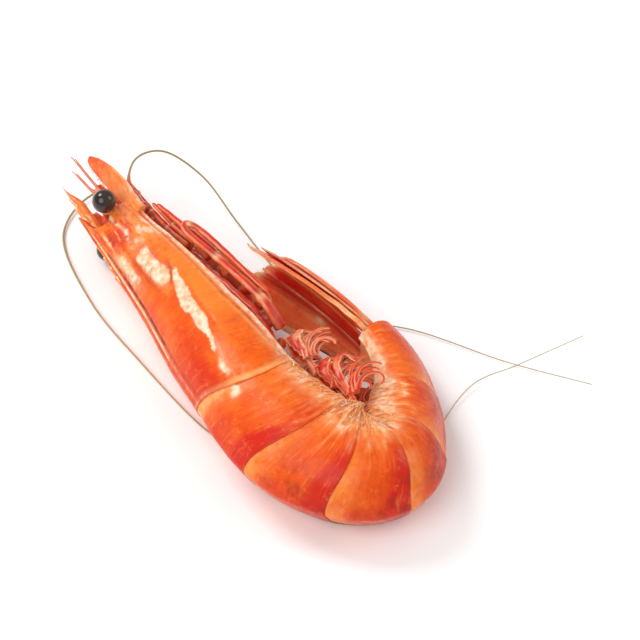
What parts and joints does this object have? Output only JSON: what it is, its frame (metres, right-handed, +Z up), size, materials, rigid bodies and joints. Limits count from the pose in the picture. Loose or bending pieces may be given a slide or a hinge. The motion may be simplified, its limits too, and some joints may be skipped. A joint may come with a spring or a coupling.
{
  "type": "argentine red shrimp",
  "caption": "Whole red shrimp in its shell, lying curled on its left side, with head, rostrum, eyes, long feelers, folded legs, swimmerets and a half-closed tail fan.",
  "frame": {"origin": "middle of the bounding box's footprint, on the surface that the shrimp lies on", "axes": "+Z up, square to the mirror plane of the animal, with its right side up; the head points to -X and +Y, and the back of the tail to -Y"},
  "size_m": [0.1086, 0.0976, 0.021],
  "materials": {
    "shell": "wet orange-red shell with paler rims",
    "tail_fan": "thin deep red shell",
    "legs": "thin wet red shell",
    "swimmerets": "thin pinkish red skin",
    "stalks": "dark red shell",
    "eyes": "polished black-brown",
    "whiskers": "thin brownish hair"
  },
  "bodies": {
    "root": {"carapace": "shell", "chest": "legs", "somite_1": "shell", "somite_2": "shell", "somite_3": "shell", "somite_4": "shell", "somite_5": "shell", "somite_6": "shell", "telson": "tail_fan", "antennal_scale_left": "shell", "antennal_scale_right": "shell", "antennule_left": "stalks", "antennule_right": "stalks", "eye_left": "eyes", "eye_right": "eyes", "eyestalk_left": "stalks", "eyestalk_right": "stalks", "leg_1_left": "legs", "leg_1_right": "legs", "leg_2_left": "legs", "leg_2_right": "legs", "leg_3_left": "legs", "leg_3_right": "legs", "leg_4_left": "legs", "leg_4_right": "legs", "leg_5_left": "legs", "leg_5_right": "legs", "maxilliped_left": "legs", "maxilliped_right": "legs", "swimmeret_1_left": "swimmerets", "swimmeret_1_right": "swimmerets", "swimmeret_2_left": "swimmerets", "swimmeret_2_right": "swimmerets", "swimmeret_3_left": "swimmerets", "swimmeret_3_right": "swimmerets", "swimmeret_4_left": "swimmerets", "swimmeret_4_right": "swimmerets", "swimmeret_5_left": "swimmerets", "swimmeret_5_right": "swimmerets", "uropod_inner_left": "tail_fan", "uropod_inner_right": "tail_fan", "uropod_outer_left": "tail_fan", "uropod_outer_right": "tail_fan", "whisker_left": "whiskers", "whisker_right": "whiskers"}
  },
  "joints": []
}
